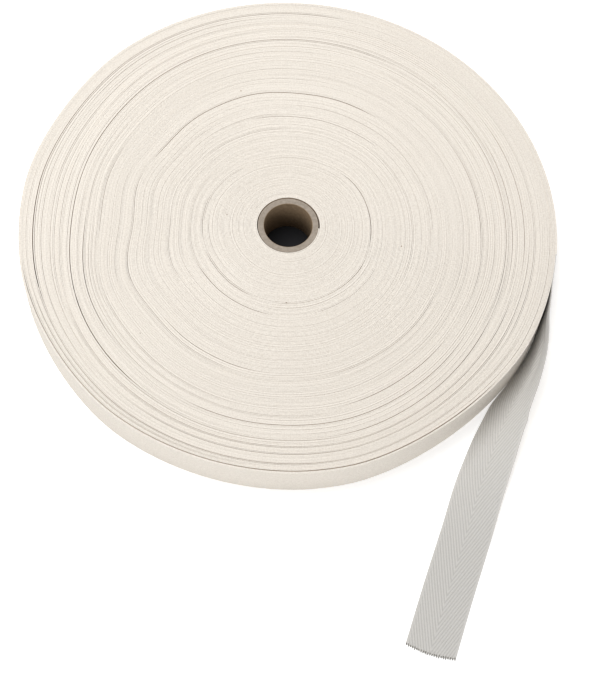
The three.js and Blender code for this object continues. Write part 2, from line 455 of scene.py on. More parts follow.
def lay_turns(band):
    """Moves an even spiral's vertices to where the real turns lie, and unrolls its UV map."""
    mesh = band.data
    count = len(mesh.vertices)
    places = np.empty(count * 3)
    mesh.vertices.foreach_get("co", places)
    places = places.reshape(count, 3)
    through = np.empty(count)
    mesh.attributes["through"].data.foreach_get("value", through)
    heading = np.arctan2(places[:, 1], places[:, 0])
    mean = np.hypot(places[:, 0], places[:, 1]) / MM - through
    turns = (mean - FIRST_RADIUS) / PITCH - 0.5
    share = (mean - CORE_OUTER_RADIUS) / (ROLL_RADIUS - CORE_OUTER_RADIUS)
    radius, spread = turn_radius(mean, heading)
    radius = radius + ring_push(turns, heading) + through * spread
    radius = radius + SIDE_WANDER * wander(turns * WANDER_KNOTS_PER_TURN, side_knots)
    height = np.interp(share, WANDER_SHARES, WANDER_HEIGHTS)
    top = np.interp(share, LEVEL_SHARES, LEVELS)
    top = top + height * wander(turns * WANDER_KNOTS_PER_TURN, top_knots)
    group_height = np.interp(share, WANDER_SHARES, GROUP_HEIGHTS)
    top = top + group_height * wander(mean / GROUP_WIDTH, group_knots)
    bottom = LOWER_EDGE_LIFT * wander(turns * WANDER_KNOTS_PER_TURN, bottom_knots)
    rise = places[:, 2] / (TAPE_WIDTH * MM)
    level = places[:, 2] / MM + top * rise + bottom * (1 - rise)
    placed = np.stack([radius * np.cos(heading) * MM + AXIS.x,
                       radius * np.sin(heading) * MM + AXIS.y, level * MM], axis=1)
    mesh.vertices.foreach_set("co", placed.ravel())
    corners = np.empty(len(mesh.loops), dtype=np.int32)
    mesh.loops.foreach_get("vertex_index", corners)
    unrolled = np.stack([tape_length(turns)[corners], (rise * TAPE_WIDTH * MM)[corners]], axis=1)
    uv_map = mesh.uv_layers.new(name="tape")
    uv_map.data.foreach_set("uv", unrolled.astype(np.float32).ravel())
    mesh.attributes.remove(mesh.attributes["through"])
    exposed = (through > 0) & (turns > LAST_TURN_START)
    buried = mesh.attributes.new("buried", "FLOAT", "POINT")
    buried.data.foreach_set("value", (~exposed).astype(np.float32))
    mesh.update()


for band in bands:
    lay_turns(band)
    even_light = band.modifiers.new("even normals", "WEIGHTED_NORMAL")
    even_light.mode = "FACE_AREA"
    even_light.keep_sharp = True
    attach(band, "root")
    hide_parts("wound_tape")
print("tape wound:", round(float(tape_length(TURNS)), 1), "m in", TURNS, "turns")

# %% [markdown]
# ## The card core
# A paper tube, cut to the tape's width. Its wall starts as a row of flat faces in the XZ plane,
# one for each layer of paper. The layers' ends step back a little, each by its own share, the four
# corners are bevelled, and a full spin of the outline makes the tube.

# %% The card core
CORE_BORE_RADIUS = 12.4
CORE_LENGTH = 24.9
CORE_EDGE = 0.3
CORE_SEGMENTS = 128
CORE_LAYERS = 6
LAYER_STEP = 0.12
LAYER_SHARES = (0.2, 1.0)
LAYER_SEED = 3
CORNER_CLEARANCE = 0.1
core_bm = bmesh.new()
bmesh.ops.create_grid(core_bm, x_segments=CORE_LAYERS, y_segments=1, size=0.5)
wall = CORE_SHOWN_RADIUS - CORE_BORE_RADIUS
bmesh.ops.scale(core_bm, vec=(wall * MM, CORE_LENGTH * MM, 1), verts=core_bm.verts)
bmesh.ops.rotate(core_bm, cent=(0, 0, 0), matrix=Matrix.Rotation(math.pi / 2, 3, "X"),
                 verts=core_bm.verts)
middle_place = Vector(((CORE_BORE_RADIUS + wall / 2) * MM, 0, CORE_LENGTH / 2 * MM))
bmesh.ops.translate(core_bm, vec=middle_place, verts=core_bm.verts)
layer_luck = random.Random(LAYER_SEED)
innermost = CORE_BORE_RADIUS + CORNER_CLEARANCE
outermost = CORE_SHOWN_RADIUS - CORNER_CLEARANCE
for vert in core_bm.verts:
    if innermost < vert.co.x / MM < outermost:
        inwards = 1 if vert.co.z < CORE_LENGTH / 2 * MM else -1
        vert.co.z += inwards * layer_luck.uniform(*LAYER_SHARES) * LAYER_STEP * MM
end_corners = [vert for vert in core_bm.verts if len(vert.link_edges) == 2]
bmesh.ops.bevel(core_bm, geom=end_corners, offset=CORE_EDGE * MM, offset_type="OFFSET",
                segments=2, profile=0.5, affect="VERTICES", material=-1)
inner_edges = [edge for edge in core_bm.edges if not edge.is_boundary]
bmesh.ops.delete(core_bm, geom=core_bm.faces[:] + inner_edges, context="EDGES_FACES")
bmesh.ops.spin(core_bm, geom=core_bm.verts[:] + core_bm.edges[:], cent=(0, 0, 0), axis=(0, 0, 1),
               dvec=(0, 0, 0), angle=2 * math.pi, steps=CORE_SEGMENTS, use_merge=True,
               use_normal_flip=False, use_duplicate=False)
bmesh.ops.remove_doubles(core_bm, verts=core_bm.verts[:], dist=MERGE_DISTANCE)
bmesh.ops.translate(core_bm, vec=(AXIS.x, AXIS.y, 0), verts=core_bm.verts)
bmesh.ops.recalc_face_normals(core_bm, faces=core_bm.faces[:])
for face in core_bm.faces:
    face.smooth = True
core = new_object("card_core", core_bm)
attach(core, "root")
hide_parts("core_tube")
print("core:", len(core.data.polygons), "faces")

# %% [markdown]
# ## The loose end's path
# The tape leaves the rim on edge, leans over and comes to lie flat. Its lower edge follows a
# curve on the table, and the lean says how far it has tipped: 90 degrees stands, 0 lies. The
# points are those of the CAD model, moved by less than a millimetre to meet the strip in the
# photograph. The kind of curve is the same too: one whose pace between two points goes by the
# root of their distance, so that it never loops.

# %% The loose end's path
# Thickness in mm of the CAD sheet, which sets how far its middle runs outside the rim
LOOSE_THICKNESS = 1.0
# Heading in degrees on the rim, and the lean there
ALONG_RIM = ((-6, 90), (-13, 90), (-20, 84), (-27, 69), (-34, 53))
# Place on the table in mm from the roll's axis, and the lean there
ON_SURFACE = (
    (103.8, -88.8, 35), (99.7, -95.6, 33), (95.0, -104.4, 26), (91.3, -112.4, 20),
    (84.0, -130.0, 9), (76.8, -152.2, 1), (66.4, -183.2, 0), (56.8, -213.2, 0),
)
PATH_SAMPLES = 40


def pass_through(points, samples):
    """A curve through points, read off at evenly spaced samples between each two of them."""
    points = np.array(points, dtype=float)
    before = 2 * points[0] - points[1]
    after = 2 * points[-1] - points[-2]
    points = np.vstack([before, points, after])
    rows = []
    for index in range(1, len(points) - 2):
        p0, p1, p2, p3 = points[index - 1:index + 3]
        pace = [math.sqrt(np.linalg.norm(b - a)) for a, b in ((p0, p1), (p1, p2), (p2, p3))]
        first = (p1 - p0) / pace[0] - (p2 - p0) / (pace[0] + pace[1]) + (p2 - p1) / pace[1]
        last = (p2 - p1) / pace[1] - (p3 - p1) / (pace[1] + pace[2]) + (p3 - p2) / pace[2]
        first = first * pace[1]
        last = last * pace[1]
        for t in np.linspace(0, 1, samples, endpoint=False):
            rows.append((2 * t ** 3 - 3 * t ** 2 + 1) * p1 + (t ** 3 - 2 * t ** 2 + t) * first
                        + (3 * t ** 2 - 2 * t ** 3) * p2 + (t ** 3 - t ** 2) * last)
    rows.append(points[-2])
    return np.array(rows)


path_points = []
path_leans = []
for degrees, lean in ALONG_RIM:
    heading = math.radians(degrees)
    reach = float(rim_radius(heading)) + PIECE_GAP + LOOSE_THICKNESS / 2
    path_points.append((reach * math.cos(heading), reach * math.sin(heading)))
    path_leans.append(lean)
for x, y, lean in ON_SURFACE:
    path_points.append((x, y))
    path_leans.append(lean)
path = pass_through(path_points, PATH_SAMPLES)
path_steps = np.linalg.norm(np.diff(path, axis=0), axis=1)
path_along = np.concatenate([[0], np.cumsum(path_steps)])
point_along = path_along[::PATH_SAMPLES]
loose_length = float(path_along[-1])
print("the loose end's lower edge is", round(loose_length, 1), "mm long")

# %% [markdown]
# ## The herringbone weave
# The tape is a herringbone twill: ridges of thread, called wales, slant up from both edges and
# meet in a point on the middle line. They stand a sixth of a millimetre proud, enough to catch
# the light. On the loose end they are real relief, so their height is worked out here for any
# place on the flat tape. The same pattern is made again in nodes further down, for the roll.

# %% The weave as a height
WALE_SPACING = 1.35
WALE_SLANT = math.radians(21)
WALE_HEIGHT = 0.16
WALE_SHARPNESS = 0.8
SELVEDGE_WIDTH = 1.1
SELVEDGE_START = 0.4
PLAIN_SPACING = 1.1
PLAIN_HEIGHT = 0.2


def wale_height(along, across):
    """Height in mm of the weave at a place on the flat tape, also in mm."""
    off_middle = np.abs(across - TAPE_WIDTH / 2)
    place = off_middle * math.cos(WALE_SLANT) + along * math.sin(WALE_SLANT)
    ridge = 0.5 + 0.5 * np.cos(2 * math.pi * place / WALE_SPACING)
    to_edge = TAPE_WIDTH / 2 - off_middle
    woven = np.clip(to_edge / SELVEDGE_WIDTH - SELVEDGE_START, 0, 1)
    plain = 0.5 + PLAIN_HEIGHT * np.cos(2 * math.pi * along / PLAIN_SPACING)
    return WALE_HEIGHT * (ridge ** WALE_SHARPNESS * woven + plain * (1 - woven))


print("wales", WALE_SPACING, "mm apart and", WALE_HEIGHT, "mm high")

# %% [markdown]
# ## From flat tape to its path
# One function carries any place on the flat tape to where it lies in the scene. It looks up the
# path, turns the tape about its lower edge by the lean, and near the join it moves the tape in
# against the rim, where the last turn of the roll becomes the loose end.

# %% Carry places onto the path
SHEET_THICKNESS = 0.5
# The cut bulges by so many mm in its middle, and the bulge fades quickly away from it
CUT_BULGE = 1.4
CUT_FADE = 8
# The join hugs the rim as far as HUG_END mm, then lets go over HUG_FADE mm. Its upper edge stands
# lower by the share JOIN_DROP, as the roll's last turns do.
JOIN_DROP = 0.02
HUG_END = 65
HUG_FADE = 32
# The lean is read off at so many places and blended over so many of them
LEAN_SAMPLES = 2000
LEAN_BLEND = 121
# The path's heading is taken between two places this many mm before and after
HEADING_REACH = 0.5


def lean_at(along):
    """How far the tape leans at places along it, in radians, blended between the path's points."""
    fine = np.linspace(0, loose_length, LEAN_SAMPLES)
    leans = np.interp(fine, point_along, path_leans)
    kernel = np.hanning(LEAN_BLEND) / np.hanning(LEAN_BLEND).sum()
    leans = np.convolve(np.pad(leans, LEAN_BLEND // 2, mode="edge"), kernel, mode="valid")
    return np.radians(np.clip(np.interp(along, fine, leans), 0, 90))


def carry(along, across, up):
    """Carries places on the flat tape, in mm, onto the loose end's path. Gives metres."""
    bulge = 1 - np.sin(math.pi * np.clip(across / TAPE_WIDTH, 0, 1))
    along = along - CUT_BULGE * bulge * (along / loose_length) ** CUT_FADE
    along = np.clip(along, 0, loose_length)
    x = np.interp(along, path_along, path[:, 0])
    y = np.interp(along, path_along, path[:, 1])
    after = np.clip(along + HEADING_REACH, 0, loose_length)
    before = np.clip(along - HEADING_REACH, 0, loose_length)
    ahead_x = np.interp(after, path_along, path[:, 0]) - np.interp(before, path_along, path[:, 0])
    ahead_y = np.interp(after, path_along, path[:, 1]) - np.interp(before, path_along, path[:, 1])
    pace = np.hypot(ahead_x, ahead_y)
    out_x = -ahead_y / pace
    out_y = ahead_x / pace
    lean = lean_at(along)
    flat_way = np.cos(lean)
    up_way = np.sin(lean)
    let_go = np.clip((along - HUG_END) / HUG_FADE, 0, 1)
    joined = 1 - let_go * let_go * (3 - 2 * let_go)
    inwards = -(PIECE_GAP + LOOSE_THICKNESS / 2 + PITCH / 2) * joined
    x = x + out_x * (across * flat_way - up * up_way + inwards)
    y = y + out_y * (across * flat_way - up * up_way + inwards)
    stand = across * up_way * (1 - JOIN_DROP * joined)
    z = (SHEET_THICKNESS + WALE_HEIGHT) / 2 * flat_way + stand + up * flat_way
    return np.stack([x * MM + AXIS.x, y * MM + AXIS.y, z * MM], axis=1)


cut_place = carry(np.array([loose_length]), np.array([TAPE_WIDTH / 2]), np.array([0.0]))[0]
print("the middle of the cut lies at", [round(float(value), 3) for value in cut_place])

# %% [markdown]
# ## The flat sheet
# The loose end starts as a fine flat grid, cut to size: its faces are small enough to show a wale
# that is little more than a millimetre wide.

# %% Make the flat sheet
GRID_ALONG = 380
GRID_ACROSS = 90
loose_bm = bmesh.new()
bmesh.ops.create_grid(loose_bm, x_segments=GRID_ALONG, y_segments=GRID_ACROSS, size=0.5)
bmesh.ops.translate(loose_bm, vec=(0.5, 0.5, 0), verts=loose_bm.verts)
bmesh.ops.scale(loose_bm, vec=(loose_length * MM, TAPE_WIDTH * MM, 1), verts=loose_bm.verts)
loose = new_object("loose_tape", loose_bm)
print("loose end:", len(loose.data.polygons), "faces before it gets its thickness")

# %% [markdown]
# The sheet is still flat. Its weave goes on now, then a soft dent where it stands next to the
# roll, and last of all its path. The thickness comes after that, with a solidify, so that both
# faces carry the weave.

# %% Carry the loose end onto its path
# A soft dent where the tape stands: place and reach along it, place and reach across it, depth
DENT_ALONG = 50
DENT_LENGTH = 15
DENT_ACROSS = 17
DENT_WIDTH = 2.4
DENT_DEPTH = 1.5
SHARP_EDGE = math.radians(50)
loose_mesh = loose.data
loose_count = len(loose_mesh.vertices)
flat_places = np.empty(loose_count * 3)
loose_mesh.vertices.foreach_get("co", flat_places)
flat_places = flat_places.reshape(loose_count, 3)
flat_along = flat_places[:, 0] / MM
flat_across = flat_places[:, 1] / MM
loose_corners = np.empty(len(loose_mesh.loops), dtype=np.int32)
loose_mesh.loops.foreach_get("vertex_index", loose_corners)
loose_unrolled = np.stack([flat_along[loose_corners], flat_across[loose_corners]], axis=1) * MM
loose_uv_map = loose_mesh.uv_layers.new(name="tape")
loose_uv_map.data.foreach_set("uv", loose_unrolled.astype(np.float32).ravel())
weave = wale_height(flat_along, flat_across)
dent = -DENT_DEPTH * np.exp(-((flat_along - DENT_ALONG) / DENT_LENGTH) ** 2)
dent = dent * np.exp(-((flat_across - DENT_ACROSS) / DENT_WIDTH) ** 2)
lower_side = (WALE_HEIGHT + SHEET_THICKNESS) / 2
loose_mesh.vertices.foreach_set(
    "co", carry(flat_along, flat_across, weave + dent - lower_side).ravel())
loose_mesh.update()
loose_bm = bmesh.new()
loose_bm.from_mesh(loose_mesh)
bmesh.ops.recalc_face_normals(loose_bm, faces=loose_bm.faces[:])
sheet_area = sum(face.calc_area() for face in loose_bm.faces)
bmesh.ops.solidify(loose_bm, geom=loose_bm.faces[:], thickness=SHEET_THICKNESS * MM)
bmesh.ops.recalc_face_normals(loose_bm, faces=loose_bm.faces[:])
for face in loose_bm.faces:
    face.smooth = True
for edge in loose_bm.edges:
    if edge.calc_face_angle(0) > SHARP_EDGE:
        edge.smooth = False
loose_bm.to_mesh(loose_mesh)
loose_bm.free()
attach(loose, "root")
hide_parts("loose_end")
print("loose end:", len(loose_mesh.polygons), "faces, one side", round(sheet_area * 1e4, 1), "cm2")

# %% [markdown]
# The side that faced the roll is in shade and looks grey, so its material is a greyer copy of the
# cream, with that shade painted in. The outer side goes on from the roll's rim, so its faces get
# the rim's own finish, as a second material slot. A face belongs to the outer side when its normal
# points against the sheet's way up, which is found by carrying each face's place on the flat tape
# twice, once a millimetre higher.

# %% Find the outer side
OUTER_LIMIT = -0.5 * MM
side_count = len(loose_mesh.polygons)
face_ways = np.empty(side_count * 3)
loose_mesh.polygons.foreach_get("normal", face_ways)
face_ways = face_ways.reshape(side_count, 3)
first_corners = np.empty(side_count, dtype=np.int32)
loose_mesh.polygons.foreach_get("loop_start", first_corners)
corner_places = np.empty(len(loose_mesh.loops) * 2)
loose_mesh.uv_layers["tape"].data.foreach_get("uv", corner_places)
face_places = corner_places.reshape(-1, 2)[first_corners] / MM
face_along, face_across = face_places[:, 0], face_places[:, 1]
up_ways = carry(face_along, face_across, 1.0) - carry(face_along, face_across, 0.0)
outer_side = np.einsum("ij,ij->i", face_ways, up_ways) < OUTER_LIMIT
loose_mesh.polygons.foreach_set("material_index", outer_side.astype(np.int32))
print("outer side:", int(outer_side.sum()), "of", side_count, "faces")

# %% [markdown]
# ## Cut threads
# Where scissors went through the tape, the ends of its long threads stick out by half a
# millimetre or a little more, each its own way. They are thin cones with their tips cut off, made
# one by one in a single bmesh and put in a row along the cut.

# %% Cut threads
THREAD_COUNT = 23
THREAD_RADIUS = 0.32
THREAD_TAPER = 0.6
THREAD_SIDES = 6
THREAD_STUBS = (1.0, 1.7)
THREAD_LIFTS = (0.1, 0.25)
THREAD_STRAYS = ((-0.3, 0.3), (-0.2, 0.2), (0, 0.1))
THREAD_MARGIN = 0.4
BACK_STEP = 3
THREAD_SEED = 21
thread_luck = random.Random(THREAD_SEED)
threads_bm = bmesh.new()
row = np.linspace(THREAD_MARGIN, TAPE_WIDTH - THREAD_MARGIN, THREAD_COUNT)
cut_places = carry(np.full(THREAD_COUNT, loose_length), row, np.zeros(THREAD_COUNT))
further_back = np.full(THREAD_COUNT, loose_length - BACK_STEP)
back_places = carry(further_back, row, np.zeros(THREAD_COUNT))
for number in range(THREAD_COUNT):
    stub = thread_luck.uniform(*THREAD_STUBS) * MM
    made = bmesh.ops.create_cone(threads_bm, cap_ends=True, segments=THREAD_SIDES,
                                 radius1=THREAD_RADIUS * MM,
                                 radius2=THREAD_RADIUS * THREAD_TAPER * MM,
                                 depth=stub)["verts"]
    end_place = Vector(cut_places[number])
    way = (end_place - Vector(back_places[number])).normalized()
    way += Vector([thread_luck.uniform(*stray) for stray in THREAD_STRAYS])
    turned = way.to_track_quat("Z", "Y").to_matrix()
    bmesh.ops.rotate(threads_bm, cent=(0, 0, 0), matrix=turned, verts=made)
    lift = Vector((0, 0, thread_luck.uniform(*THREAD_LIFTS) * MM))
    bmesh.ops.translate(threads_bm, vec=end_place + lift, verts=made)
for face in threads_bm.faces:
    face.smooth = True
threads = new_object("cut_threads", threads_bm)
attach(threads, "root")
print("cut threads:", THREAD_COUNT)

# %% [markdown]
# ## Flecks
# Raw cotton keeps a few brown bits of seed husk. Five of them lie on the face. Each is a small
# ball pressed flat and turned a little off the run of the tape.

# %% Flecks
# Heading in degrees, radius on the face and length of the fleck in mm
FLECKS = ((-11, 59, 0.9), (170, 32, 0.7), (-91, 44, 0.8), (107.5, 84, 0.9), (-140, 96, 0.6))
FLECK_LIFT = 0.06
FLECK_SHAPE = (1, 0.5, 0.35)
FLECK_TURN = math.pi / 2.3
flecks_bm = bmesh.new()
for degrees, place, size in FLECKS:
    made = bmesh.ops.create_icosphere(flecks_bm, subdivisions=2, radius=size / 2 * MM)["verts"]
    bmesh.ops.scale(flecks_bm, vec=FLECK_SHAPE, verts=made)
    heading = math.radians(degrees)
    turned = Matrix.Rotation(heading + FLECK_TURN, 3, "Z")
    bmesh.ops.rotate(flecks_bm, cent=(0, 0, 0), matrix=turned, verts=made)
    share = (place - CORE_OUTER_RADIUS) / (ROLL_RADIUS - CORE_OUTER_RADIUS)
    level = TAPE_WIDTH + float(np.interp(share, LEVEL_SHARES, LEVELS)) + FLECK_LIFT
    fleck_place = Vector((place * math.cos(heading) * MM + AXIS.x,
                          place * math.sin(heading) * MM + AXIS.y, level * MM))
    bmesh.ops.translate(flecks_bm, vec=fleck_place, verts=made)
flecks = new_object("husk_flecks", flecks_bm)
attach(flecks, "root")
print("flecks:", len(FLECKS))

# %% [markdown]
# ## Shared finishes
# Two effects are used by more than one material, so each is a node group with named inputs and
# outputs: the herringbone weave, and the slow change of tone of undyed cotton. A few small
# functions place nodes, fill their sockets and link them.

# %% Node helpers


def add_node(tree, kind, **settings):
    """Adds a node and sets its properties."""
    node = tree.nodes.new(kind)
    for key, value in settings.items():
        setattr(node, key, value)
    return node


def fill(tree, socket, value):
    """Links another node's output to a socket, or sets the socket to a constant."""
    if isinstance(value, bpy.types.NodeSocket):
        tree.links.new(value, socket)
    else:
        socket.default_value = value


def math_node(tree, operation, *values, clamp=False):
    """A Math node. Each value is a number or another node's output."""
    node = add_node(tree, "ShaderNodeMath", operation=operation, use_clamp=clamp)
    for socket, value in zip(node.inputs, values):
        fill(tree, socket, value)
    return node.outputs[0]


def new_group(name, inputs, outputs):
    """An empty node group with its sockets, and its inner input and output nodes."""
    group = bpy.data.node_groups.new(name, "ShaderNodeTree")
    for socket_name, kind, value in inputs:
        socket = group.interface.new_socket(socket_name, in_out="INPUT", socket_type=kind)
        if value is not None:
            socket.default_value = value
    for socket_name, kind in outputs:
        group.interface.new_socket(socket_name, in_out="OUTPUT", socket_type=kind)
    return group, group.nodes.new("NodeGroupInput"), group.nodes.new("NodeGroupOutput")


print("node helpers ready")

# %% [markdown]
# The herringbone weave is read from the tape's own UV map, which is laid out in metres: U runs
# along the tape and V across it. It gives a height for the bump, a mask for the valleys between
# the wales, and a mask for the selvedges, which are woven plain.

# %% Herringbone group
THREAD_SPACING = 0.55
THREAD_SHARE = 0.12
FLOAT = "NodeSocketFloat"
COLOUR = "NodeSocketColor"
VECTOR = "NodeSocketVector"
weave_group, weave_in, weave_out = new_group(
    "herringbone weave",
    [("Along", FLOAT, 0.0), ("Across", FLOAT, 0.0), ("Wale Spacing", FLOAT, WALE_SPACING * MM),
     ("Thread Spacing", FLOAT, THREAD_SPACING * MM), ("Selvedge", FLOAT, SELVEDGE_WIDTH * MM)],
    [("Height", FLOAT), ("Valley", FLOAT), ("Edge", FLOAT)],
)
off_middle = math_node(weave_group, "ABSOLUTE", math_node(
    weave_group, "SUBTRACT", weave_in.outputs["Across"], TAPE_WIDTH / 2 * MM))
slanted = math_node(weave_group, "MULTIPLY_ADD", off_middle, math.cos(WALE_SLANT), math_node(
    weave_group, "MULTIPLY", weave_in.outputs["Along"], math.sin(WALE_SLANT)))
wale_turns = math_node(weave_group, "DIVIDE", slanted, weave_in.outputs["Wale Spacing"])
wale_wave = math_node(weave_group, "COSINE", math_node(
    weave_group, "MULTIPLY", wale_turns, 2 * math.pi))
ridge = math_node(weave_group, "MULTIPLY_ADD", wale_wave, 0.5, 0.5)
crossed = math_node(weave_group, "MULTIPLY_ADD", off_middle, math.sin(WALE_SLANT), math_node(
    weave_group, "MULTIPLY", weave_in.outputs["Along"], math.cos(WALE_SLANT)))
thread_turns = math_node(weave_group, "DIVIDE", crossed, weave_in.outputs["Thread Spacing"])
thread_wave = math_node(weave_group, "SINE", math_node(
    weave_group, "MULTIPLY", thread_turns, 2 * math.pi))
thread_part = math_node(weave_group, "MULTIPLY", thread_wave, THREAD_SHARE)
to_edge = math_node(weave_group, "SUBTRACT", TAPE_WIDTH / 2 * MM, off_middle)
inside = math_node(weave_group, "DIVIDE", to_edge, weave_in.outputs["Selvedge"])
woven = math_node(weave_group, "SUBTRACT", inside, SELVEDGE_START, clamp=True)
raised = math_node(weave_group, "ADD", ridge, thread_part)
height_mix = math_node(weave_group, "MULTIPLY_ADD", math_node(
    weave_group, "SUBTRACT", raised, 0.5), woven, 0.5)
weave_group.links.new(height_mix, weave_out.inputs["Height"])
weave_group.links.new(math_node(weave_group, "SUBTRACT", 1.0, height_mix),
                      weave_out.inputs["Valley"])
weave_group.links.new(math_node(weave_group, "SUBTRACT", 1.0, woven), weave_out.inputs["Edge"])
print("herringbone group:", len(weave_group.nodes), "nodes")

# %% [markdown]
# Undyed cotton is never one even colour. One noise runs along the tape, so that the tone changes
# from turn to turn, and one lies in space, for wide soft patches. Their sum blends from the
# lighter colour to the darker one.

# %% Tone group
TONE_STRETCH = 9.0
TURN_DETAIL = 3
PATCH_DETAIL = 2


def noise_in_space(tree, place, scale, detail):
    """A noise read at a place in space. It gives values around a half."""
    node = add_node(tree, "ShaderNodeTexNoise", noise_dimensions="3D")
    fill(tree, node.inputs["Vector"], place)
    fill(tree, node.inputs["Scale"], scale)
    fill(tree, node.inputs["Detail"], detail)
    return node.outputs[0]


def mix_colours(tree, share, first, second, blend="MIX"):
    """Blends two colours by a share. Sockets 6 and 7 of a Mix node are its colours."""
    node = add_node(tree, "ShaderNodeMix", data_type="RGBA", blend_type=blend)
    fill(tree, node.inputs[0], share)
    fill(tree, node.inputs[6], first)
    fill(tree, node.inputs[7], second)
    return node.outputs[2]


tone_group, tone_in, tone_out = new_group(
    "cotton tone",
    [("Colour", COLOUR, (0.8, 0.75, 0.65, 1)), ("Dark Colour", COLOUR, (0.7, 0.62, 0.5, 1)),
     ("Along", FLOAT, 0.0), ("Patch Size", FLOAT, 0.05), ("Turn Contrast", FLOAT, 0.3),
     ("Patch Contrast", FLOAT, 0.3), ("Place", VECTOR, None)],
    [("Colour", COLOUR)],
)
tape_noise = add_node(tone_group, "ShaderNodeTexNoise", noise_dimensions="1D")
tone_group.links.new(math_node(tone_group, "MULTIPLY", tone_in.outputs["Along"], TONE_STRETCH),
                     tape_noise.inputs["W"])
tape_noise.inputs["Scale"].default_value = 1.0
tape_noise.inputs["Detail"].default_value = TURN_DETAIL
patch_scale = math_node(tone_group, "DIVIDE", 1.0, tone_in.outputs["Patch Size"])
patch_noise = noise_in_space(tone_group, tone_in.outputs["Place"], patch_scale, PATCH_DETAIL)
turn_part = math_node(tone_group, "MULTIPLY", tape_noise.outputs[0],
                      tone_in.outputs["Turn Contrast"])
patch_part = math_node(tone_group, "MULTIPLY", patch_noise, tone_in.outputs["Patch Contrast"])
tone_sum = math_node(tone_group, "ADD", turn_part, patch_part, clamp=True)
tone_colour = mix_colours(tone_group, tone_sum, tone_in.outputs["Colour"],
                          tone_in.outputs["Dark Colour"])
tone_group.links.new(tone_colour, tone_out.inputs["Colour"])
print("tone group:", len(tone_group.nodes), "nodes")

# %% [markdown]
# ## From groups and numbers to a material
# Three more helpers serve the materials: one places a node group in a material, one turns a number,
# such as a depth, into a mask, and one turns a height into a bump.

# %% Material helpers


def use_group(tree, group, **values):
    """Places a node group in a material and fills its inputs. Underscores stand for spaces."""
    node = add_node(tree, "ShaderNodeGroup", node_tree=group)
    for key, value in values.items():
        fill(tree, node.inputs[key.replace("_", " ")], value)
    return node


def mask_between(tree, value, start, full):
    """A mask that grows from 0 to 1 while a value goes from start to full."""
    node = add_node(tree, "ShaderNodeMapRange", clamp=True)
    fill(tree, node.inputs["Value"], value)
    fill(tree, node.inputs["From Min"], start)
    fill(tree, node.inputs["From Max"], full)
    return node.outputs[0]


def bump_from(tree, height, shader):
    """Feeds a height in metres to the shader's normal, through a Bump node."""
    node = add_node(tree, "ShaderNodeBump")
    node.inputs["Distance"].default_value = 1.0
    node.inputs["Strength"].default_value = 1.0
    tree.links.new(height, node.inputs["Height"])
    tree.links.new(node.outputs["Normal"], shader.inputs["Normal"])


print("material helpers ready")

# %% [markdown]
# ## Cloth on the roll
# On the face we look at the selvedges, the woven edges of the tape, where the weft turns back in
# small loops. At this distance they are a fine grain, so a noise in space makes them, as a bump
# and as a slight change of colour. On the rim we look at the tape's flat side, so the herringbone
# shows there, with painted shade in the valleys between its wales. The weave group's Edge mask says
# which of the two a place is. Down between two turns the colour is painted browner and darker, as
# painted shade and bounce light from cloth to cloth. V says how deep a place lies, and the buried
# attribute leaves out the rim.

# %% Wound cloth material
CREAM = (0.84, 0.79, 0.72, 1)
CREAM_DARK = (0.77, 0.71, 0.63, 1)
# Painted shade for the valleys between the wales: its colour here, its share below
VALLEY_SHADE_COLOUR = (0.58, 0.52, 0.44, 1)
CLOTH_ROUGHNESS = 0.92
VALLEY_SHADE_SHARE = 0.5
LOOP_SPACING = 0.75
GRAIN_COLOUR = (0.90, 0.89, 0.88, 1)
# The noise values between which the grain's colour sets in
GRAIN_START = 0.40
GRAIN_FULL = 0.62
LOOP_DETAIL = 1
FUZZ_DETAIL = 2
FUZZ_SCALE = 2500
FUZZ_HEIGHT = 0.05
# Painted shade and bounce light down between the turns: its colour
GAP_SHADE_COLOUR = (0.84, 0.68, 0.52, 1)
# Depths in mm below the upper edge between which the gaps' painted shade sets in
GAP_SHADE_START = 0.15
GAP_SHADE_FULL = 0.6
SHEEN_WEIGHT = 0.15
SHEEN_ROUGHNESS = 0.6
CLOTH_SPECULAR = 0.2


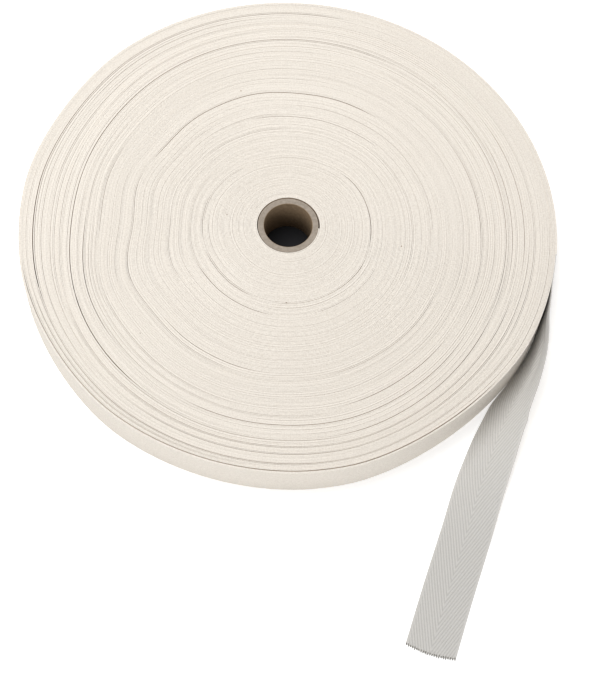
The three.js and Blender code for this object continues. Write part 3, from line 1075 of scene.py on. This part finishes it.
def cloth_material(name, colour, dark_colour, valley_shade_colour, weave_depth, loop_depth,
                   grain_share):
    """Undyed cotton tape: tone, herringbone on the flat, weft loops on the edges, and painted
    shade in the wales' valleys and down between the turns.

    The two depths are the bump's heights in metres, and grain_share is the grain's strength."""
    material, shader, tree = plain_material(name, colour, CLOTH_ROUGHNESS)
    place = add_node(tree, "ShaderNodeTexCoord").outputs["Object"]
    uv = add_node(tree, "ShaderNodeUVMap", uv_map="tape")
    split = add_node(tree, "ShaderNodeSeparateXYZ")
    tree.links.new(uv.outputs["UV"], split.inputs[0])
    along = split.outputs["X"]
    across = split.outputs["Y"]
    tone = use_group(tree, tone_group, Colour=colour, Dark_Colour=dark_colour, Along=along,
                     Place=place)
    # Painted shade in the valleys between the wales, on the flat side only
    weave_node = use_group(tree, weave_group, Along=along, Across=across)
    edge = weave_node.outputs["Edge"]
    flat_part = math_node(tree, "SUBTRACT", 1.0, edge)
    valley_shade_part = math_node(tree, "MULTIPLY", weave_node.outputs["Valley"], flat_part)
    valley_shade_part = math_node(tree, "MULTIPLY", valley_shade_part, VALLEY_SHADE_SHARE)
    with_valley_shade = mix_colours(tree, valley_shade_part, tone.outputs["Colour"], valley_shade_colour)
    # Grain of the weft loops
    loop_noise = noise_in_space(tree, place, 1 / (LOOP_SPACING * MM), LOOP_DETAIL)
    grain_part = mask_between(tree, loop_noise, GRAIN_START, GRAIN_FULL)
    grain_part = math_node(tree, "MULTIPLY", grain_part, grain_share)
    with_grain = mix_colours(tree, grain_part, with_valley_shade, GRAIN_COLOUR, "MULTIPLY")
    # Painted shade and bounce light: browner down between the turns
    buried_node = add_node(tree, "ShaderNodeAttribute", attribute_name="buried")
    depth = math_node(tree, "SUBTRACT", TAPE_WIDTH * MM, across)
    gap_shade_part = mask_between(tree, depth, GAP_SHADE_START * MM, GAP_SHADE_FULL * MM)
    gap_shade_part = math_node(tree, "MULTIPLY", gap_shade_part, buried_node.outputs["Fac"])
    with_gap_shade = mix_colours(tree, gap_shade_part, with_grain, GAP_SHADE_COLOUR, "MULTIPLY")
    tree.links.new(with_gap_shade, shader.inputs["Base Color"])
    # Relief: loops on the edges, fuzz everywhere, wales on the flat side
    loops = math_node(tree, "SUBTRACT", loop_noise, 0.5)
    loop_height = math_node(tree, "MULTIPLY", loops, edge)
    loop_height = math_node(tree, "MULTIPLY", loop_height, loop_depth)
    fuzz = noise_in_space(tree, place, FUZZ_SCALE, FUZZ_DETAIL)
    fuzz_height = math_node(tree, "MULTIPLY_ADD", fuzz, FUZZ_HEIGHT * MM, loop_height)
    bump_from(tree, math_node(tree, "MULTIPLY_ADD", weave_node.outputs["Height"], weave_depth,
                              fuzz_height), shader)
    shader.inputs["Sheen Weight"].default_value = SHEEN_WEIGHT
    shader.inputs["Sheen Roughness"].default_value = SHEEN_ROUGHNESS
    shader.inputs["Specular IOR Level"].default_value = CLOTH_SPECULAR
    return material


WOUND_WEAVE_DEPTH = 0.12
WOUND_LOOP_DEPTH = 0.10
WOUND_GRAIN = 0.8
wound_material = cloth_material("wound cotton", CREAM, CREAM_DARK, VALLEY_SHADE_COLOUR,
                                WOUND_WEAVE_DEPTH * MM, WOUND_LOOP_DEPTH * MM, WOUND_GRAIN)
for band in bands:
    band.data.materials.append(wound_material)
print("wound cotton:", len(wound_material.node_tree.nodes), "nodes")

# %% [markdown]
# ## Cloth of the loose end
# The same cloth in a greyer tone, which is painted shade, with hardly any bump, because its weave
# is real relief. It is thin enough for a little light to come through, which a small share of
# subsurface light gives.

# %% Loose cloth material
# Greyer copies of the cream colours, with painted shade in them
LOOSE_SHADE_CREAM = (0.61, 0.596, 0.572, 1)
LOOSE_SHADE_CREAM_DARK = (0.548, 0.533, 0.504, 1)
LOOSE_SHADE_VALLEY = (0.37, 0.361, 0.339, 1)
LOOSE_WEAVE_DEPTH = 0.02
LOOSE_LOOP_DEPTH = 0.05
LOOSE_GRAIN = 0.4
THROUGH_WEIGHT = 0.15
THROUGH_RADIUS = (1.0, 1.0, 0.9)
THROUGH_SCALE = 0.8
loose_shade_material = cloth_material("painted-shade loose cloth", LOOSE_SHADE_CREAM, LOOSE_SHADE_CREAM_DARK, LOOSE_SHADE_VALLEY,
                                LOOSE_WEAVE_DEPTH * MM, LOOSE_LOOP_DEPTH * MM, LOOSE_GRAIN)
loose_shader = loose_shade_material.node_tree.nodes["Principled BSDF"]
loose_shader.inputs["Subsurface Weight"].default_value = THROUGH_WEIGHT
loose_shader.inputs["Subsurface Radius"].default_value = THROUGH_RADIUS
loose_shader.inputs["Subsurface Scale"].default_value = THROUGH_SCALE * MM
loose.data.materials.append(loose_shade_material)
loose.data.materials.append(wound_material)
print("painted-shade loose cloth:", len(loose_shade_material.node_tree.nodes), "nodes")

# %% [markdown]
# ## Thread ends and husk
# Both are tiny, so one speckle is enough for each: a noise in space, blended from a dark colour
# to a light one. The thread ends are kept dark as painted shade, for the dark dots along the cut.

# %% Speckled materials
# The thread ends' dark tones are painted shade for the dots along the cut
# Dark colour, light colour, noise scale and roughness
THREAD_SHADE_LOOK = ((0.05, 0.045, 0.04, 1), (0.30, 0.28, 0.25, 1), 900, 0.95)
HUSK_LOOK = ((0.10, 0.06, 0.04, 1), (0.42, 0.30, 0.20, 1), 1500, 0.8)
SPECKLE_DETAIL = 2


def two_tones(tree, value, dark, light, dark_place=0.0, light_place=1.0):
    """A colour ramp from a dark tone to a light one. Gives the colour."""
    ramp = add_node(tree, "ShaderNodeValToRGB")
    low, high = ramp.color_ramp.elements
    low.color = dark
    low.position = dark_place
    high.color = light
    high.position = light_place
    tree.links.new(value, ramp.inputs[0])
    return ramp.outputs[0]


def speckled_material(name, dark, light, noise_scale, roughness):
    """A plain material whose colour is a speckle between two tones."""
    material, shader, tree = plain_material(name, light, roughness)
    place = add_node(tree, "ShaderNodeTexCoord").outputs["Object"]
    noise = noise_in_space(tree, place, noise_scale, SPECKLE_DETAIL)
    tree.links.new(two_tones(tree, noise, dark, light), shader.inputs["Base Color"])
    return material


threads.data.materials.append(speckled_material("shaded thread tips", *THREAD_SHADE_LOOK))
flecks.data.materials.append(speckled_material("husk brown", *HUSK_LOOK))
print("shaded thread tips and husk brown made")

# %% [markdown]
# ## Card
# The core is rolled from strips of grey-brown paper. Its cut ends are pale and fuzzy, with the
# layers just showing, and its bore is darker and browner, with the edge of the last strip running
# round it as a spiral. Both are drawn from the place on the piece: how far from the axis, how
# high, and the heading.

# %% Card material
CARD_END = (0.37, 0.315, 0.26, 1)
CARD_BORE = (0.29, 0.205, 0.125, 1)
CARD_ROUGHNESS = 0.85
# The blend from the bore's colour to the end's, in mm outside the bore
BORE_BLEND_START = 0.12
BORE_BLEND_END = 0.35
FIBRE_SCALE = 700
FIBRE_DETAIL = 4
# The fibres' two tones, and where they sit on the noise
FIBRE_TONES = ((0.75, 0.74, 0.72, 1), (1, 1, 1, 1), 0.3, 0.7)
card_material, card_shader, card_tree = plain_material("card", CARD_END, CARD_ROUGHNESS)
card_place = add_node(card_tree, "ShaderNodeTexCoord").outputs["Object"]
card_centre = add_node(card_tree, "ShaderNodeMapping", vector_type="POINT")
card_centre.inputs["Location"].default_value = (-AXIS.x, -AXIS.y, 0)
card_tree.links.new(card_place, card_centre.inputs["Vector"])
card_split = add_node(card_tree, "ShaderNodeSeparateXYZ")
card_tree.links.new(card_centre.outputs["Vector"], card_split.inputs[0])
card_x, card_y, card_z = card_split.outputs
square_x = math_node(card_tree, "MULTIPLY", card_x, card_x)
square_r = math_node(card_tree, "MULTIPLY_ADD", card_y, card_y, square_x)
from_axis = math_node(card_tree, "SQRT", square_r)
bore_part = mask_between(card_tree, from_axis, (CORE_BORE_RADIUS + BORE_BLEND_START) * MM,
                         (CORE_BORE_RADIUS + BORE_BLEND_END) * MM)
fibres = noise_in_space(card_tree, card_place, FIBRE_SCALE, FIBRE_DETAIL)
card_colour = mix_colours(card_tree, bore_part, CARD_BORE, CARD_END)
card_colour = mix_colours(card_tree, 1.0, card_colour,
                          two_tones(card_tree, fibres, *FIBRE_TONES), "MULTIPLY")
card_tree.links.new(card_colour, card_shader.inputs["Base Color"])
print("card colour:", len(card_tree.nodes), "nodes")

# %% [markdown]
# The card's relief is the sum of three heights: fine rings on the cut ends for the layers of
# paper, the spiral seam, and the fibres. A ping-pong of height and heading makes a wave whose
# zeros run round the bore as a spiral, one turn in thirty millimetres.

# %% Card relief
LAYER_SPACING = 0.55
LAYER_DEPTH = 0.04
SEAM_RISE = 30 * MM
SEAM_WIDTH = 0.5
SEAM_DEPTH = 0.12
FIBRE_DEPTH = 0.12
layer_wave = math_node(card_tree, "SINE", math_node(
    card_tree, "MULTIPLY", from_axis, 2 * math.pi / (LAYER_SPACING * MM)))
layer_height = math_node(card_tree, "MULTIPLY", layer_wave, LAYER_DEPTH * MM)
layer_height = math_node(card_tree, "MULTIPLY", layer_height, bore_part)
card_heading = math_node(card_tree, "ARCTAN2", card_y, card_x)
seam_place = math_node(card_tree, "MULTIPLY_ADD", card_heading, SEAM_RISE / (2 * math.pi), card_z)
seam_wave = math_node(card_tree, "PINGPONG", seam_place, SEAM_RISE / 2)
seam_line = mask_between(card_tree, seam_wave, 0.0, SEAM_WIDTH * MM)
seam_height = math_node(card_tree, "MULTIPLY_ADD", seam_line, SEAM_DEPTH * MM, layer_height)
card_height = math_node(card_tree, "MULTIPLY_ADD", fibres, FIBRE_DEPTH * MM, seam_height)
bump_from(card_tree, card_height, card_shader)
core.data.materials.append(card_material)
print("card:", len(card_tree.nodes), "nodes")

# %% Finish


triangles = 0
for thing in [*bands, core, loose, threads, flecks]:
    thing.data.calc_loop_triangles()
    triangles += len(thing.data.loop_triangles)
    print(thing.name, len(thing.data.loop_triangles), "triangles")
print("in all", triangles, "triangles")
